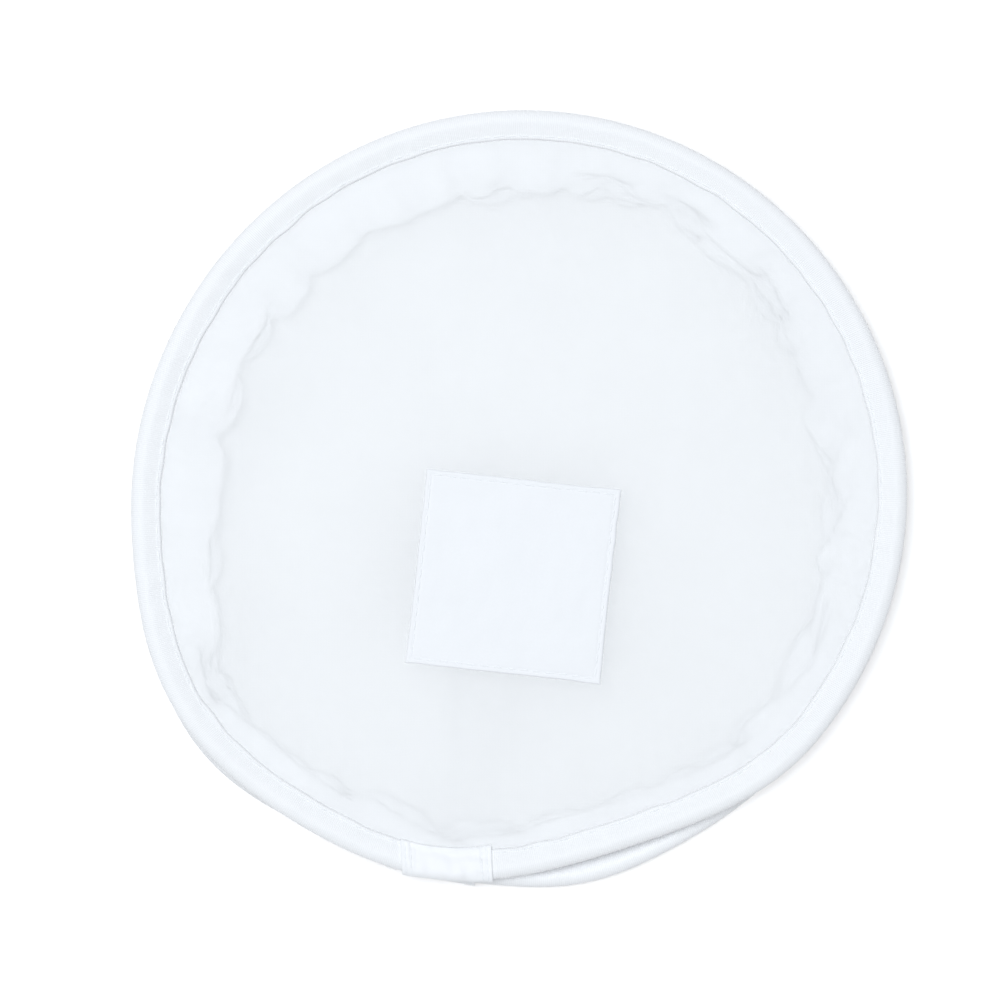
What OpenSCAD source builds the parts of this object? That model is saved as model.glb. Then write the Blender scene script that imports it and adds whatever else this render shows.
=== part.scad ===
// Round pop-up diffusion panel.
// Two spring hoops, each in a folded and stitched tape with a sheer sheet over
// it, are joined by a gathered cloth wall. The panel lies collapsed on its rear
// sheet with the front sheet up, and opens when the front hoop is lifted off.

/* [Hoops] */
// Outside diameter of a hoop across its tape
hoop_d = 250; // [200:1:320]
// Height of the spring strip
strip_h = 3.6; // [3:0.1:5]
// Thickness of the spring strip
strip_t = 0.7; // [0.5:0.05:1]
// Gap between the two ends of the strip, inside the ferrule
strip_gap = 1; // [0.5:0.1:2]
// Wall of the ferrule crimped over the ends of the strip
ferrule_t = 0.2; // [0.15:0.05:0.4]
// Length of the ferrule
ferrule_l = 18; // [12:1:24]

/* [Folded tape] */
// Thickness of the ribbed tape
tape_t = 0.4; // [0.3:0.05:0.6]
// Reach of the folded tape, from the outer edge of the hoop inwards
tape_w = 9.5; // [8.5:0.1:14]
// Distance of the seam from the tape's inner edge
seam_inset = 1.2; // [0.8:0.1:2]

/* [Join sleeves] */
// Width of the cloth sleeve along the rim
sleeve_w = 29.5; // [24:0.5:40]
// Thickness of the sleeve's cloth
sleeve_t = 0.3; // [0.2:0.05:0.5]
// Reach of the sleeve's outer ply, from the outer edge of the hoop inwards
sleeve_reach = 12; // [10:0.1:16]
// Distance of the first stitch line from each end of the sleeve
sleeve_seam_inset = 1.4; // [1:0.1:3]
// Distance between the two stitch lines at each end
sleeve_seam_pitch = 1.8; // [1.2:0.1:3]
// Direction of the front hoop's join, in degrees from +X
front_join = 259; // [0:1:359]
// Direction of the rear hoop's join, in degrees from +X
rear_join = 257; // [0:1:359]

/* [Sheets] */
// Thickness of a sheer sheet
sheet_t = 0.3; // [0.2:0.05:0.5]
// Width of the slope where the rear sheet sags from the rim to the ground
sag_w = 24; // [15:1:40]

/* [Patch] */
// Side of the square patch
patch_w = 63; // [40:1:80]
// Thickness of the patch
patch_t = 0.4; // [0.3:0.05:0.8]
// Place of the patch's centre across the panel
patch_x = -1.8; // [-20:0.1:20]
// Place of the patch's centre up the panel
patch_y = -24.8; // [-30:0.1:20]
// Turn of the patch, in degrees
patch_turn = -6.3; // [-45:0.1:45]
// Distance of the patch's stitching from its edges
patch_seam_inset = 1.7; // [1:0.1:4]

/* [Side wall] */
// Thickness of the gathered wall
wall_t = 0.3; // [0.2:0.05:0.5]
// Depth of the collapsed wall's fold, inwards from the tape
wall_fold = 16; // [8:0.5:30]
// Length of the seam that closes the wall into a loop, along the fold
wall_seam_w = 0.8; // [0.4:0.1:2]

/* [Thread] */
// Width of a flattened thread
thread_w = 0.5; // [0.3:0.05:0.8]
// Thickness of a flattened thread
thread_t = 0.2; // [0.15:0.05:0.3]

/* [Clearances] */
// Gap between cloths, tape and strip inside a hoop
tuck_c = 0.1; // [0.05:0.01:0.2]
// Gap between the ferrule and the strip it is crimped on
crimp_c = 0.03; // [0.01:0.01:0.05]
// Gap between the two hoops' sleeves when the panel is collapsed
stack_c = 0.3; // [0.3:0.05:1]
// Height of the rear hoop's lowest thread over the ground
ground_c = 0.05; // [0.02:0.01:0.2]

/* [Hidden] */

// A hoop's outline: stations at even angles, counted from the join.
steps = 80;
step_a = 360 / steps;
step_l = hoop_d * sin(step_a / 2);

// Slow waves of a sprung hoop that isn't held round: height, lobes, direction.
front_waves = [[0.7, 1, -143], [1.2, 2, 43], [0.4, 3, -16]];
rear_waves = [[1.9, 1, -120], [0.8, 2, 43]];
// Short bends: height (inwards if negative), direction, half width in degrees.
front_bends = [[3.6, 212, 28], [-6, 287, 34]];
rear_bends = [[5.6, 217, 26], [1.6, 279, 16], [-1.2, 306, 22]];
// How much smaller the rear hoop springs than the front one, in radius.
rear_less = 1.2;

// Section of the folded tape, from the outer edge inwards.
nose = 1.6;
nose_u = -(tape_t + nose);
casing_w = strip_t + 2 * (ferrule_t + crimp_c) + 2 * tuck_c;
casing_u = nose_u - casing_w;
casing_h = strip_h / 2 + crimp_c + ferrule_t + tuck_c;
flat_u = casing_u - 2.6;
ply_h = (sheet_t + wall_t + tuck_c) / 2 + tuck_c;
hem_u = flat_u - 0.4;
seam_u = -(tape_w - seam_inset);
strip_u = nose_u - tuck_c - ferrule_t - crimp_c;

// Layers over the casing: tape, thread, sleeve, and the sleeve's own thread.
sleeve_c = thread_t + tuck_c;
sleeve_d = tape_t + sleeve_c;
stack_h = casing_h + sleeve_d + sleeve_t + thread_t;

// Heights. Outward is up on the front hoop and down on the rear hoop.
FRONT = 1;
REAR = -1;
rear_z = ground_c + stack_h;
front_z = rear_z + 2 * stack_h + stack_c;
function mid_z(hoop) = hoop == FRONT ? front_z : rear_z;
sheet_in = (wall_t + tuck_c) / 2;
wall_in = (sheet_t + tuck_c) / 2;
front_sheet_z = front_z + sheet_in;
rear_sheet_z = rear_z - sheet_in;

// The rear sheet's rest disc, slope and level rim.
slope_r = hoop_d / 2 - tape_w - 14;
rest_r = slope_r - sag_w;

// Join sleeve and ferrule, as a count of stations to each side of the join.
sleeve_s = sleeve_w / 2 / step_l;
ferrule_s = ferrule_l / 2 / step_l;
strip_end_s = strip_gap / 2 / step_l;
nose_out = sleeve_d + sleeve_t + thread_t - tape_t;

// Height of a short bend at direction a, a raised cosine.
function turn_to(a, b) = ((a - b + 540) % 360) - 180;
function bend(a, b) =
    abs(turn_to(a, b[1])) < b[2] ? b[0] * (1 + cos(180 * turn_to(a, b[1]) / b[2])) / 2 : 0;
function total(list, i = 0) = i < len(list) ? list[i] + total(list, i + 1) : 0;

// Radius of a hoop's outer edge in direction a.
function edge_r(hoop, a) =
    hoop_d / 2 - (hoop == FRONT ? 0 : rear_less)
    + total([for (w = hoop == FRONT ? front_waves : rear_waves) w[0] * cos(w[1] * (a - w[2]))])
    + total([for (b = hoop == FRONT ? front_bends : rear_bends) bend(a, b)]);
function station_a(hoop, k) = (hoop == FRONT ? front_join : rear_join) + k * step_a;
function station(hoop, k, u) =
    let (a = station_a(hoop, k))
    (edge_r(hoop, a) + u) * [cos(a), sin(a)];

// Point at station s, which may lie between two stations, and u out from the edge.
function raw_rim(hoop, s, u) =
    let (k = floor(s))
    (1 - (s - k)) * station(hoop, k, u) + (s - k) * station(hoop, k + 1, u);

// Middle of the whole panel's outline, which is moved to the origin.
edges = concat(
    [for (hoop = [FRONT, REAR]) for (k = [0:steps - 1]) raw_rim(hoop, k, 0)],
    [for (hoop = [FRONT, REAR]) for (s = around(sleeve_s)) raw_rim(hoop, s, nose_out)]);
edges_x = [for (p = edges) p[0]];
edges_y = [for (p = edges) p[1]];
middle = [max(edges_x) + min(edges_x), max(edges_y) + min(edges_y)] / 2;
function rim(hoop, s, u) = raw_rim(hoop, s, u) - middle;

// Stations from -s to s round the join, with the even ones between.
function around(s) = between(-s, s);
function between(s0, s1) = concat(
    [s0], [for (k = [ceil(s0 + 0.01):floor(s1 - 0.01)]) k], [s1]);
function outline(hoop, u) = [for (k = [0:steps - 1]) rim(hoop, k, u)];
function flip(list) = [for (i = [len(list) - 1:-1:0]) list[i]];

// One face of a layer folded round the casing, d out from the casing itself.
// out_u and in_u are where its outward and its inward ply end.
nose_steps = [90, 45, 0, -45, -90];
function fold_face(d, out_u, in_u) = concat(
    [[out_u, ply_h + d], [flat_u, ply_h + d], [casing_u, casing_h + d]],
    [for (a = nose_steps) [nose_u + (nose + d) * cos(a), (casing_h + d) * sin(a)]],
    [[casing_u, -casing_h - d], [flat_u, -ply_h - d], [in_u, -ply_h - d]]);
function fold_layer(d, t, out_u, in_u) =
    concat(fold_face(d, out_u, in_u), flip(fold_face(d + t, out_u, in_u)));

// Carries a section along a hoop's stations. A ring closes on itself, and a
// length has a cap at each end. The section is [u, height outward] points.
module sweep(hoop, section, list, ring = false) {
    profile = hoop == FRONT ? section : flip(section);
    n = len(profile);
    m = len(list);
    points = [
        for (s = list) for (p = profile)
            concat(rim(hoop, s, p[0]), [mid_z(hoop) + hoop * p[1]])
    ];
    sides = [
        for (k = [0:m - (ring ? 1 : 2)]) for (i = [0:n - 1])
            let (j = (i + 1) % n, a = k * n, b = ((k + 1) % m) * n)
            each [[a + i, a + j, b + j], [a + i, b + j, b + i]]
    ];
    polyhedron(points, concat(sides, ring ? [] : end_caps(n, m)), convexity = 6);
}

// Caps for a length whose section is one face followed by the other one turned
// back: each cap is a row of quads across the layer.
function end_caps(n, m) =
    let (last = (m - 1) * n)
    [
        for (i = [0:n / 2 - 2]) let (j = n - 1 - i)
            each [[i, j, j - 1, i + 1], [last + i, last + i + 1, last + j - 1, last + j]]
    ];

// A flat band of cloth, metal or thread between two offsets of a hoop.
module ring_band(hoop, outer_u, inner_u, z, h) {
    translate([0, 0, z])
        linear_extrude(h)
            difference() {
                polygon(outline(hoop, outer_u));
                polygon(outline(hoop, inner_u));
            }
}
module part_band(hoop, outer_u, inner_u, s0, s1, z, h) {
    list = between(s0, s1);
    translate([0, 0, z])
        linear_extrude(h)
            polygon(concat(
                [for (s = list) rim(hoop, s, outer_u)],
                [for (s = flip(list)) rim(hoop, s, inner_u)]));
}

// Spring steel strip, open by a small gap at the join.
module hoop_strip(hoop) {
    part_band(hoop, strip_u, strip_u - strip_t, strip_end_s, steps - strip_end_s,
        mid_z(hoop) - strip_h / 2, strip_h);
}

// Flat tube crimped over both ends of the strip.
module ferrule(hoop) {
    h = strip_h / 2 + crimp_c;
    difference() {
        part_band(hoop, strip_u + crimp_c + ferrule_t, strip_u - strip_t - crimp_c - ferrule_t,
            -ferrule_s, ferrule_s, mid_z(hoop) - h - ferrule_t, 2 * (h + ferrule_t));
        part_band(hoop, strip_u + crimp_c, strip_u - strip_t - crimp_c,
            -ferrule_s - 1, ferrule_s + 1, mid_z(hoop) - h, 2 * h);
    }
}

// Ribbed tape folded over the strip, its two plies level where they are sewn.
module binding(hoop) {
    sweep(hoop, fold_layer(0, tape_t, -tape_w, -tape_w), [for (k = [0:steps - 1]) k], true);
}

// Plain cloth folded round the rim over the join.
module join_sleeve(hoop) {
    sweep(hoop, fold_layer(sleeve_d, sleeve_t, -sleeve_reach, 0.3 - tape_w), around(sleeve_s));
}

// Two rows of thread across each end of the sleeve.
module sleeve_stitching(hoop) {
    section = fold_layer(sleeve_d + sleeve_t, thread_t, 0.4 - sleeve_reach, 0.7 - tape_w);
    for (side = [-1, 1])
        for (row = [0, 1]) {
            s = side * (sleeve_w / 2 - sleeve_seam_inset - row * sleeve_seam_pitch) / step_l;
            half = thread_w / 2 / step_l;
            sweep(hoop, section, between(s - half, s + half));
        }
}

// Thread of the rim seam: the needle's on the outward ply, the bobbin's under it.
module rim_thread(hoop, side) {
    face = mid_z(hoop) + side * (ply_h + tape_t);
    ring_band(hoop, seam_u + thread_w / 2, seam_u - thread_w / 2,
        side > 0 ? face : face - thread_t, thread_t);
}

module rear_hoop_strip() { color("slategray") hoop_strip(REAR); }
module rear_ferrule() { color("silver") ferrule(REAR); }
module rear_binding() { color("whitesmoke") binding(REAR); }
module rear_join_sleeve() { color("white") join_sleeve(REAR); }
module rear_rim_stitching() { color("white") rim_thread(REAR, -1); }
module rear_rim_bobbin_thread() { color("white") rim_thread(REAR, 1); }
module rear_sleeve_stitching() { color("white") sleeve_stitching(REAR); }
module front_hoop_strip() { color("slategray") hoop_strip(FRONT); }
module front_ferrule() { color("silver") ferrule(FRONT); }
module front_binding() { color("whitesmoke") binding(FRONT); }
module front_join_sleeve() { color("white") join_sleeve(FRONT); }
module front_rim_stitching() { color("white") rim_thread(FRONT, 1); }
module front_rim_bobbin_thread() { color("white") rim_thread(FRONT, -1); }
module front_sleeve_stitching() { color("white") sleeve_stitching(FRONT); }

// Sheer sheet that sags inside the rim until it lies on the ground.
module rear_sheet() {
    level = rear_sheet_z - sheet_t / 2;
    color("aliceblue") {
        rotate_extrude($fn = 96)
            polygon([
                [0, 0], [rest_r, 0], [slope_r, level], [slope_r + 4, level],
                [slope_r + 4, level + sheet_t], [slope_r, level + sheet_t],
                [rest_r, sheet_t], [0, sheet_t]
            ]);
        translate([0, 0, level])
            linear_extrude(sheet_t)
                difference() {
                    polygon(outline(REAR, hem_u));
                    circle(r = slope_r + 2, $fn = 96);
                }
    }
}

// Sheer sheet held taut by the front hoop.
module front_sheet() {
    color("aliceblue")
        translate([0, 0, front_sheet_z - sheet_t / 2])
            linear_extrude(sheet_t)
                polygon(outline(FRONT, hem_u));
}

// Place of the patch on the front sheet, z up from the sheet's outward face.
module on_patch(z) {
    translate([patch_x, patch_y, front_sheet_z + sheet_t / 2 + z])
        rotate(patch_turn)
            children();
}
module front_patch() {
    color("white")
        on_patch(0)
            linear_extrude(patch_t)
                square(patch_w, center = true);
}
module patch_thread(z) {
    seam = patch_w - 2 * patch_seam_inset;
    on_patch(z)
        linear_extrude(thread_t)
            difference() {
                square(seam + thread_w, center = true);
                square(seam - thread_w, center = true);
            }
}
module patch_stitching() { color("white") patch_thread(patch_t); }
module patch_bobbin_thread() { color("white") patch_thread(-sheet_t - thread_t); }

// A ply of the side wall, folded inwards between the hoops. Its hems lie
// between the plies of each hoop's tape, inside the hoops' own outlines.
wall_exit_u = -(tape_w + 0.5);
wall_fold_u = -(tape_w + wall_fold);
front_hem_z = front_z - wall_in;
rear_hem_z = rear_z + wall_in;
fold_z = (front_hem_z + rear_hem_z) / 2;
// Section points: which hoop they follow (0 for both), u, and height.
function wall_face(d, fold_d) = [
    [FRONT, hem_u, front_hem_z + d], [FRONT, wall_exit_u, front_hem_z + d],
    [0, wall_fold_u - fold_d, fold_z],
    [REAR, wall_exit_u, rear_hem_z - d], [REAR, hem_u, rear_hem_z - d]
];
function wall_point(p, s, turn) =
    let (
        front = rim(FRONT, s, p[1]),
        rear = rim(REAR, s + turn, p[1]),
        at = p[0] == FRONT ? front : p[0] == REAR ? rear : (front + rear) / 2
    )
    concat(at, [p[2]]);
module wall_sweep(section, list, ring = false) {
    turn = (front_join - rear_join) / step_a;
    n = len(section);
    m = len(list);
    points = [for (s = list) for (p = section) wall_point(p, s, turn)];
    sides = [
        for (k = [0:m - (ring ? 1 : 2)]) for (i = [0:n - 1])
            let (j = (i + 1) % n, a = k * n, b = ((k + 1) % m) * n)
            each [[a + i, b + j, a + j], [a + i, b + i, b + j]]
    ];
    caps = ring ? [] : [for (cap = end_caps(n, m)) flip(cap)];
    polyhedron(points, concat(sides, caps), convexity = 6);
}
module side_wall() {
    section = concat(wall_face(wall_t / 2, wall_t), flip(wall_face(-wall_t / 2, -wall_t)));
    color("ghostwhite") wall_sweep(section, [for (k = [0:steps - 1]) k], true);
}

// Thread of the seam that closes the wall, inside its fold from hoop to hoop.
module wall_seam_stitching() {
    near = wall_face(-wall_t / 2 - crimp_c, -wall_t - crimp_c);
    far = wall_face(-wall_t / 2 - crimp_c - thread_t, -wall_t - crimp_c - 2 * thread_t);
    section = concat([for (i = [1:3]) near[i]], [for (i = [3:-1:1]) far[i]]);
    half = wall_seam_w / 2 / step_l;
    color("white") wall_sweep(section, [-half, 0, half]);
}

rear_hoop_strip();
rear_ferrule();
rear_binding();
rear_join_sleeve();
rear_sheet();
rear_rim_stitching();
rear_rim_bobbin_thread();
rear_sleeve_stitching();
front_hoop_strip();
front_ferrule();
front_binding();
front_join_sleeve();
front_sheet();
front_rim_stitching();
front_rim_bobbin_thread();
front_sleeve_stitching();
front_patch();
patch_stitching();
patch_bobbin_thread();
side_wall();
wall_seam_stitching();
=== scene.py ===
"""Looks of a round pop-up diffusion panel, lying collapsed on a white floor.

Two sprung hoops lie one on the other. Each is a ribbed tape folded over a steel
strip and sewn, with a sheer sheet over it, and a crumpled cloth wall joins them.
Lengths are in metres. A place along a rim is a turn, from 0 to 1 round the hoop
from its join; a place across it is w, the distance in from the outer edge.
"""

import math

import bpy
import numpy as np
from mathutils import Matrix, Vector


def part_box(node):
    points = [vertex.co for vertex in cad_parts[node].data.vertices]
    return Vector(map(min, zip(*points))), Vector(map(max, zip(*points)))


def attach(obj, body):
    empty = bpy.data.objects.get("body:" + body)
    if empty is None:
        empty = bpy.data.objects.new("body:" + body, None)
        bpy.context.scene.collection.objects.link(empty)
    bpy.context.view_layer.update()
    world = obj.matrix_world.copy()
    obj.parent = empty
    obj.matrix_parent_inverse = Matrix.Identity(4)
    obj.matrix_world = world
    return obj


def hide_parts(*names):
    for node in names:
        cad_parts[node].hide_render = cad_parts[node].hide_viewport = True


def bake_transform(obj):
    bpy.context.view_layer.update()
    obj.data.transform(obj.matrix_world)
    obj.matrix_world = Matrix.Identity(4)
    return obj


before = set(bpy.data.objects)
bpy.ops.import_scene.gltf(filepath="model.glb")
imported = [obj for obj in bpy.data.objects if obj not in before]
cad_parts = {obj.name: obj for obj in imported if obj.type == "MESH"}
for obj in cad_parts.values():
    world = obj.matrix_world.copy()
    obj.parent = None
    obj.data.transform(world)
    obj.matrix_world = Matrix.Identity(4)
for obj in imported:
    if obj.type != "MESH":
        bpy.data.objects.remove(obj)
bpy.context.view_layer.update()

MM = 0.001
TAU = 2 * math.pi

# ---------------------------------------------------------------- cloth sizes
TAPE_W = 9.5 * MM  # folded tape, from the rim's edge to its own
TAPE_T = 0.34 * MM  # one ply of it
SEAM_W = 8.3 * MM  # rim seam, in from the rim's edge
HEM_W = 6.7 * MM  # where the sheets and the wall end between the plies
NOSE_H = 2.48 * MM  # half height of the tape over the strip
NOSE_W = 3.6 * MM  # how far in it reaches that height
SEWN_H = 0.70 * MM  # half height of the sewn plies
TAPE_RIB = 0.65 * MM
SLEEVE_W = 29.5 * MM  # along the rim
SLEEVE_REACH = 10.3 * MM  # across it, on the outer face
SLEEVE_SEAMS = (13.35 * MM, 11.55 * MM)  # each way from the join
SLEEVE_SET = {"front": (0.16, 1.3 * MM), "rear": (0.05, 0)}  # lean and shift along the rim
RIM_BEND = 85 * MM  # the rim's bend radius at the join
SHEET_T = 0.16 * MM
WALL_T = 0.14 * MM
WALL_CUT = 49 * MM  # the wall's cloth from tape to tape
WALL_EXIT = TAPE_W + 0.1 * MM  # where it leaves the tape
CLEAR = 0.45 * MM  # least gap between the wall and each sheet
PATCH_W = 63 * MM
PATCH_T = 0.35 * MM
PATCH_SEAM = 1.7 * MM  # in from the patch's side
THREAD = 0.42 * MM
RIM_STITCH = 4.4 * MM  # from one needle hole to the next
PATCH_STITCH = 4.2 * MM
SLEEVE_STITCH = 2.6 * MM
WALL_STITCH = 3 * MM
STITCH_SHOWS = 0.84  # share of a stitch's pitch that shows as thread


# ------------------------------------------------------------- small formulas
def unit(vectors):
    """Each vector divided by its own length."""
    return vectors / np.linalg.norm(vectors, axis=-1)[..., None]


def smooth(x):
    """Smoothstep: 0 below 0, 1 above 1, and level at both ends."""
    x = np.clip(x, 0, 1)
    return x * x * (3 - 2 * x)


def bell(x, width):
    """Gaussian of x, 1 in the middle, with this width."""
    return np.exp(-((x / width) ** 2))


def ripples(seed, turn, across, cycles, rows, count=26):
    """Soft noise that closes round the hoop: a sum of cosines of turn and across.
    Each has a whole number of cycles round the hoop, up to cycles, and up to rows
    cycles per unit across. The sum has a spread of about 1."""
    random = np.random.default_rng(seed)
    out = np.zeros(np.broadcast(turn, across).shape)
    for _ in range(count):
        n = random.integers(max(1, cycles // 4), cycles + 1)
        m = random.uniform(-rows, rows)
        out += np.cos(TAU * (n * turn + m * across + random.uniform()))
    return out * math.sqrt(2 / count)


def clouds(seed, x, y, size, count=26):
    """Soft noise on a plane: a sum of cosines in random directions, about size apart."""
    random = np.random.default_rng(seed)
    out = np.zeros(np.broadcast(x, y).shape)
    for _ in range(count):
        a, k = random.uniform(0, TAU), TAU / size * random.uniform(0.4, 1.3)
        out += np.cos(k * (x * math.cos(a) + y * math.sin(a)) + random.uniform(0, TAU))
    return out * math.sqrt(2 / count)


# ------------------------------------------------------------------ the hoops
def outer_ring(node, z):
    """Directions and radii of the outer face's ring in a CAD tape, at height z. The
    inner face has points there too, so the ones beyond the mean nearby are kept."""
    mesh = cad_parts[node].data
    co = np.empty(len(mesh.vertices) * 3)
    mesh.vertices.foreach_get("co", co)
    co = co.reshape(-1, 3)
    co = co[abs(co[:, 2] - z) < 0.05 * MM]
    angle, radius = np.arctan2(co[:, 1], co[:, 0]), np.hypot(co[:, 0], co[:, 1])
    near = np.cos(angle[:, None] - angle) > math.cos(math.radians(1.5))
    outer = radius > (near * radius).sum(1) / near.sum(1)
    return angle[outer], radius[outer]


class Hoop:
    """A hoop's outer edge as a smooth closed line, sampled evenly by length.
    The radius is a Fourier series of the direction, fitted to the CAD tape."""

    SAMPLES = 4096
    ORDER = 20
    SPAN = 8  # samples each way that a direction is measured over

    def __init__(self, name, out):
        self.name, self.out = name, out
        low, high = (np.array(c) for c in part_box(f"{name}_hoop_strip"))
        self.z = (low[2] + high[2]) / 2
        angle, radius = outer_ring(f"{name}_binding", self.z)
        n = np.arange(1, self.ORDER + 1)

        def terms(a):
            waves = a[:, None] * n
            return np.hstack([np.ones((len(a), 1)), np.cos(waves), np.sin(waves)])

        series = np.linalg.lstsq(terms(angle), radius, rcond=None)[0]
        low, high = (np.array(c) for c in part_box(f"{name}_join_sleeve"))
        join = (low + high) / 2
        start = math.atan2(join[1], join[0])
        a = start + np.linspace(0, TAU, self.SAMPLES + 1)
        edge = (terms(a) @ series)[:, None] * np.stack([np.cos(a), np.sin(a)], 1)
        step = np.linalg.norm(np.diff(edge, axis=0), axis=1)
        run = np.concatenate([[0], np.cumsum(step)])
        self.length = run[-1]
        even = np.linspace(0, self.length, self.SAMPLES + 1)
        self.edge = np.stack([np.interp(even, run, edge[:, k]) for k in (0, 1)], 1)[:-1]
        along = unit(np.roll(self.edge, -self.SPAN, 0) - np.roll(self.edge, self.SPAN, 0))
        self.outward = np.stack([along[:, 1], -along[:, 0]], 1)

    def look_up(self, table, turn):
        """Value of a table of samples at a turn, straight between two samples."""
        s = np.asarray(turn) % 1.0 * self.SAMPLES
        k = np.floor(s).astype(int)
        f = (s - k)[..., None]
        return (1 - f) * table[k % self.SAMPLES] + f * table[(k + 1) % self.SAMPLES]

    def at(self, turn, w, height):
        """Point at a turn, w in from the edge, and height outward of the middle."""
        turn, w, height = np.broadcast_arrays(turn, w, height)
        xy = self.look_up(self.edge, turn) - w[..., None] * self.look_up(self.outward, turn)
        return np.concatenate([xy, (self.z + self.out * height)[..., None]], -1)

    def across(self, turn):
        """Unit vector across the rim, outwards."""
        xy = unit(self.look_up(self.outward, turn))
        return np.concatenate([xy, np.zeros(xy.shape[:-1] + (1,))], -1)


front, rear = Hoop("front", 1), Hoop("rear", -1)


# ------------------------------------------------------------------ materials
WHITE = (0.965, 0.97, 0.98)
SHEER = (0.968, 0.971, 0.973)


class Finish:
    """A material's nodes, with short calls for what several cloths share."""

    def __init__(self, name, colour, roughness, **sockets):
        self.material = bpy.data.materials.new(name)
        self.material.use_nodes = True
        self.nodes, self.links = self.material.node_tree.nodes, self.material.node_tree.links
        self.shader = self.nodes["Principled BSDF"]
        self.colour = colour
        self.shader.inputs["Base Color"].default_value = (*colour, 1)
        self.shader.inputs["Roughness"].default_value = roughness
        for socket, value in sockets.items():
            self.shader.inputs[socket.replace("_", " ")].default_value = value

    def add(self, kind, inputs=(), **settings):
        """A node, its settings, and its inputs as values or as other nodes' sockets."""
        node = self.nodes.new(kind)
        for key, value in settings.items():
            setattr(node, key, value)
        for key, value in dict(inputs).items():
            if isinstance(value, bpy.types.NodeSocket):
                self.links.new(value, node.inputs[key])
            else:
                node.inputs[key].default_value = value
        return node

    def maths(self, operation, a, b=0.0):
        """Output of one step of arithmetic on a and b."""
        return self.add("ShaderNodeMath", {0: a, 1: b}, operation=operation).outputs[0]

    def place(self, kind):
        """The piece's own coordinates, as kind Object or UV, in metres."""
        return self.add("ShaderNodeTexCoord").outputs[kind]

    def wave(self, value, pitch):
        """A row of soft ridges from 0 to 1, one for each pitch of value."""
        turns = self.maths("MULTIPLY", value, TAU / pitch)
        return self.maths("MULTIPLY_ADD", self.maths("SINE", turns), 0.5)

    def noise(self, vector, size, detail=2.0):
        """Soft noise from 0 to 1, with blots about size across."""
        return self.add("ShaderNodeTexNoise", {"Vector": vector, "Scale": 1 / size,
                                               "Detail": detail}).outputs["Fac"]

    def tint(self, factor, low, high):
        """Base colour from low to high times the finish's own colour."""
        ramp = self.add("ShaderNodeMix", {"Factor": factor}, data_type="RGBA")
        ramp.inputs["A"].default_value = (*(low * c for c in self.colour), 1)
        ramp.inputs["B"].default_value = (*(min(1, high * c) for c in self.colour), 1)
        self.links.new(ramp.outputs["Result"], self.shader.inputs["Base Color"])

    def bump(self, height, distance, strength=1.0, under=None):
        """Relief of this height; under is another bump below it."""
        inputs = {"Height": height, "Distance": distance, "Strength": strength}
        if under is not None:
            inputs["Normal"] = under
        out = self.add("ShaderNodeBump", inputs).outputs["Normal"]
        self.links.new(out, self.shader.inputs["Normal"])
        return out


def weave(finish, place, pitch):
    """Plain weave: two crossed rows of threads, each over the other in turn."""
    split = finish.add("ShaderNodeSeparateXYZ", {0: place})
    warp = finish.wave(split.outputs["X"], pitch)
    weft = finish.wave(split.outputs["Y"], pitch)
    return finish.maths("MAXIMUM", warp, weft)


def ribbed_tape():
    """Grosgrain: fine ribs across the tape, a soft shine, and painted shade on the ribs:
    darker in the valleys, paler on the tops.
    """
    finish = Finish("ribbed_tape", WHITE, 0.62, Sheen_Weight=0.25,
                    Sheen_Roughness=0.4)
    place = finish.place("UV")
    split = finish.add("ShaderNodeSeparateXYZ", {0: place})
    ribs = finish.wave(split.outputs["X"], TAPE_RIB)
    fine = finish.noise(place, 0.5 * MM, 3.0)
    blots = finish.noise(place, 9 * MM)
    # Painted shade: the rib wave darkens the tape in the rib valleys and lightens the rib
    # tops, with random blots mixed in.
    both = finish.maths("MULTIPLY_ADD", ribs, 0.7)
    finish.links.new(finish.maths("MULTIPLY", blots, 0.3), both.node.inputs[2])
    finish.tint(both, 0.955, 1.02)
    under = finish.bump(ribs, 0.09 * MM)
    finish.bump(fine, 0.02 * MM, 1.0, under)
    return finish.material


def cloth(name, colour, pitch, kind, blot, **sockets):
    """Plain woven cloth: a fine weave, soft blots and a little slub."""
    finish = Finish(name, colour, 0.7, Sheen_Weight=0.2, Sheen_Roughness=0.5, **sockets)
    place = finish.place(kind)
    threads = weave(finish, place, pitch)
    slub = finish.noise(place, 3.5 * pitch, 3.0)
    finish.tint(finish.noise(place, blot, 3.0), 0.98, 1.012)
    under = finish.bump(threads, 0.05 * MM, 0.35)
    finish.bump(slub, 0.05 * MM, 0.5, under)
    return finish.material


def thread_finish():
    """Twisted polyester thread with a soft shine."""
    finish = Finish("sewing_thread", (0.93, 0.945, 0.96), 0.5, Sheen_Weight=0.2)
    finish.tint(finish.noise(finish.place("Object"), 1.5 * MM), 0.96, 1.03)
    return finish.material


def steel(name, colour, roughness, scratch):
    """Rolled steel: fine lines along the strip, brighter and darker in bands."""
    finish = Finish(name, colour, roughness, Metallic=1.0)
    place = finish.place("Object")
    stretch = finish.add("ShaderNodeMapping", {"Vector": place, "Scale": (1, 1, 40)})
    lines = finish.noise(stretch.outputs[0], scratch, 4.0)
    finish.tint(lines, 0.86, 1.08)
    finish.bump(lines, 0.02 * MM, 0.5)
    return finish.material


def floor_finish():
    """Matt white, with a faint warm glow that evens out the cool light."""
    finish = Finish("white_floor", (1.0, 1.0, 1.0), 0.9)
    finish.shader.inputs["Emission Color"].default_value = (1.0, 0.9, 0.8, 1)
    finish.shader.inputs["Emission Strength"].default_value = 0.12
    return finish.material


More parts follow.
